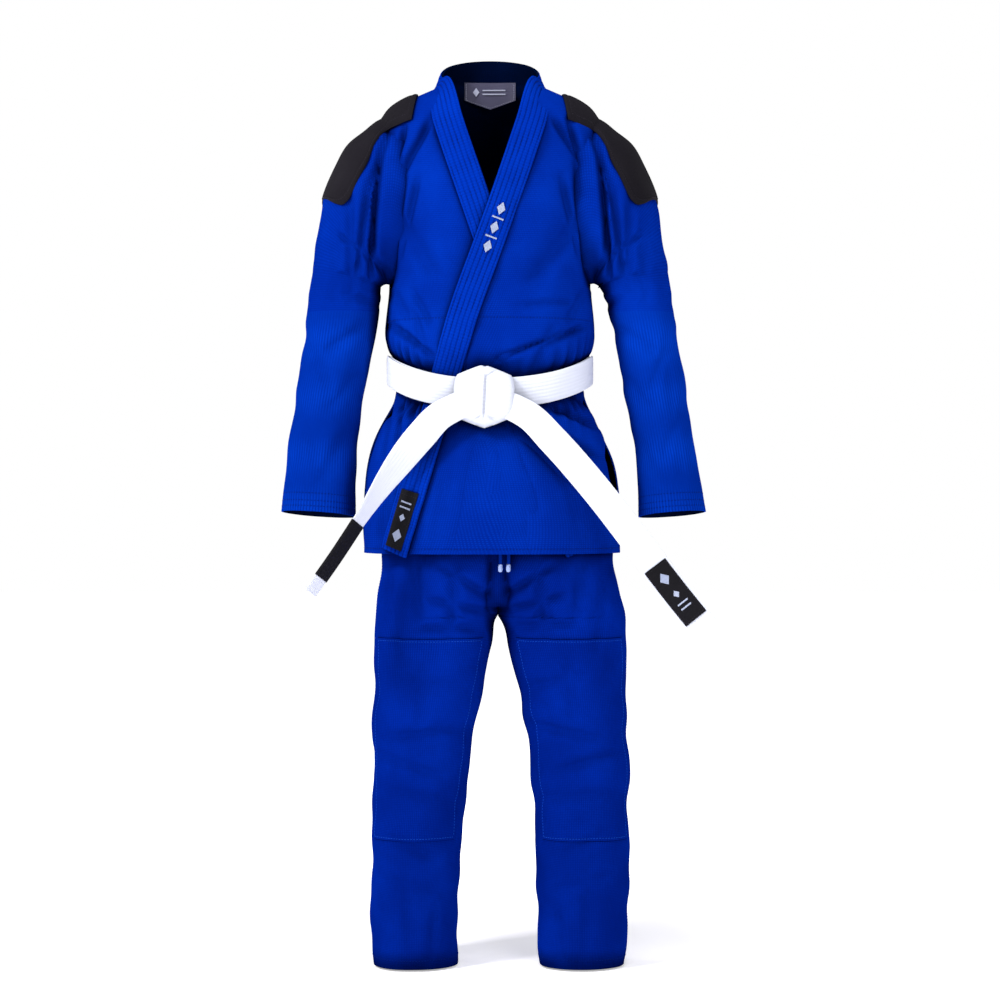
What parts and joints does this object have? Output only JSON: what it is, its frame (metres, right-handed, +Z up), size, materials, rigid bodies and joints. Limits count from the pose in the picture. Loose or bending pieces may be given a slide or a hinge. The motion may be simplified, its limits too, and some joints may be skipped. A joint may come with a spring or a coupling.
{
  "type": "martial arts uniform",
  "caption": "Crossover grappling uniform: quilted-lapel jacket with shoulder pads, straight trousers and a flat-knotted belt with two tails.",
  "frame": {"origin": "between the shoulders at the height where the jacket rests on the wearer", "axes": "+Z up, front faces -Y, wearer's left is +X"},
  "size_m": [0.664, 0.3276, 1.3962],
  "materials": {
    "jacket_weave": "cotton pearl weave",
    "lapel_cloth": "stitched cotton twill",
    "trouser_cloth": "cotton twill",
    "shoulder_pad": "matt canvas",
    "patch": "tight woven patch",
    "neck_label": "woven label",
    "belt_cotton": "stitched cotton",
    "drawcord": "braided cord",
    "cord_tip": "satin",
    "lapel_foam": "closed-cell foam"
  },
  "bodies": {
    "jacket": {"back_panel": "jacket_weave", "left_front_panel": "jacket_weave", "right_front_panel": "jacket_weave", "collar_band": "lapel_cloth", "collar_core": "lapel_foam", "neck_label": "neck_label", "belt_inner_wrap": "belt_cotton", "belt_outer_wrap": "belt_cotton", "belt_knot": "belt_cotton", "left_armhole_fold": "jacket_weave", "right_armhole_fold": "jacket_weave", "left_shoulder_pad": "shoulder_pad", "right_shoulder_pad": "shoulder_pad"},
    "left_upper_sleeve": {"left_upper_sleeve": "jacket_weave", "left_elbow_fold": "jacket_weave"},
    "right_upper_sleeve": {"right_upper_sleeve": "jacket_weave", "right_elbow_fold": "jacket_weave"},
    "left_lower_sleeve": {"left_lower_sleeve": "jacket_weave", "left_cuff_tape": "jacket_weave"},
    "right_lower_sleeve": {"right_lower_sleeve": "jacket_weave", "right_cuff_tape": "jacket_weave"},
    "front_flaps": {"right_front_skirt": "jacket_weave", "right_skirt_lapel": "lapel_cloth", "right_skirt_core": "lapel_foam", "left_front_skirt": "jacket_weave", "left_skirt_lapel": "lapel_cloth", "left_skirt_core": "lapel_foam", "lapel_patch": "patch"},
    "right_tail": {"right_belt_tail": "belt_cotton", "rank_bar": "patch"},
    "left_tail": {"left_belt_tail": "belt_cotton", "belt_label": "patch"},
    "back_flap": {"back_skirt": "jacket_weave"},
    "trousers": {"waistband": "trouser_cloth", "seat": "trouser_cloth", "crotch_gusset": "trouser_cloth", "left_hip_fold": "trouser_cloth", "right_hip_fold": "trouser_cloth", "drawcord_knot": "drawcord", "left_drawcord_end": "drawcord", "right_drawcord_end": "drawcord", "left_cord_tip": "cord_tip", "right_cord_tip": "cord_tip"},
    "left_thigh": {"left_thigh": "trouser_cloth", "left_knee_fold": "trouser_cloth", "left_knee_patch": "trouser_cloth"},
    "right_thigh": {"right_thigh": "trouser_cloth", "right_knee_fold": "trouser_cloth", "right_knee_patch": "trouser_cloth"},
    "left_shin": {"left_shin": "trouser_cloth", "left_hem_tape": "trouser_cloth"},
    "right_shin": {"right_shin": "trouser_cloth", "right_hem_tape": "trouser_cloth"}
  },
  "joints": [
    {"name": "left_shoulder", "type": "hinge", "parent": "jacket", "child": "left_upper_sleeve", "pos_m": [0.165, 0, -0.08], "axis": [0, -1, 0], "range_deg": [0, 80], "deforming": ["left_armhole_fold", "left_shoulder_pad"]},
    {"name": "right_shoulder", "type": "hinge", "parent": "jacket", "child": "right_upper_sleeve", "pos_m": [-0.165, 0, -0.08], "axis": [0, 1, 0], "range_deg": [0, 80], "deforming": ["right_armhole_fold", "right_shoulder_pad"]},
    {"name": "left_elbow", "type": "hinge", "parent": "left_upper_sleeve", "child": "left_lower_sleeve", "pos_m": [0.24, 0.005, -0.375], "axis": [-1, 0, 0], "range_deg": [0, 80], "deforming": ["left_elbow_fold"]},
    {"name": "right_elbow", "type": "hinge", "parent": "right_upper_sleeve", "child": "right_lower_sleeve", "pos_m": [-0.24, 0.005, -0.375], "axis": [-1, 0, 0], "range_deg": [0, 80], "deforming": ["right_elbow_fold"]},
    {"name": "front_flap_lift", "type": "hinge", "parent": "jacket", "child": "front_flaps", "pos_m": [0, -0.116, -0.49], "axis": [-1, 0, 0], "range_deg": [0, 12]},
    {"name": "back_flap_lift", "type": "hinge", "parent": "jacket", "child": "back_flap", "pos_m": [0, 0.116, -0.49], "axis": [1, 0, 0], "range_deg": [0, 12]},
    {"name": "right_tail_swing", "type": "hinge", "parent": "front_flaps", "child": "right_tail", "pos_m": [-0.07485, -0.14085, -0.494], "axis": [0, 0.9925, -0.1219], "range_deg": [-30, 25]},
    {"name": "left_tail_swing", "type": "hinge", "parent": "front_flaps", "child": "left_tail", "pos_m": [0.05885, -0.14085, -0.494], "axis": [0, -0.9925, 0.1219], "range_deg": [-30, 25]},
    {"name": "trousers_slide", "type": "slide", "parent": "jacket", "child": "trousers", "axis": [0, 0, -1], "range_m": [0, 0.06]},
    {"name": "left_hip", "type": "hinge", "parent": "trousers", "child": "left_thigh", "pos_m": [0.111, 0, -0.763], "axis": [-1, 0, 0], "range_deg": [-15, 50], "deforming": ["left_hip_fold", "crotch_gusset"]},
    {"name": "right_hip", "type": "hinge", "parent": "trousers", "child": "right_thigh", "pos_m": [-0.087, 0, -0.763], "axis": [-1, 0, 0], "range_deg": [-15, 50], "deforming": ["right_hip_fold"]},
    {"name": "left_knee", "type": "hinge", "parent": "left_thigh", "child": "left_shin", "pos_m": [0.133, -0.005, -0.985], "axis": [1, 0, 0], "range_deg": [0, 80], "deforming": ["left_knee_fold", "left_knee_patch"]},
    {"name": "right_knee", "type": "hinge", "parent": "right_thigh", "child": "right_shin", "pos_m": [-0.109, -0.005, -0.985], "axis": [1, 0, 0], "range_deg": [0, 80], "deforming": ["right_knee_fold", "right_knee_patch"]}
  ]
}
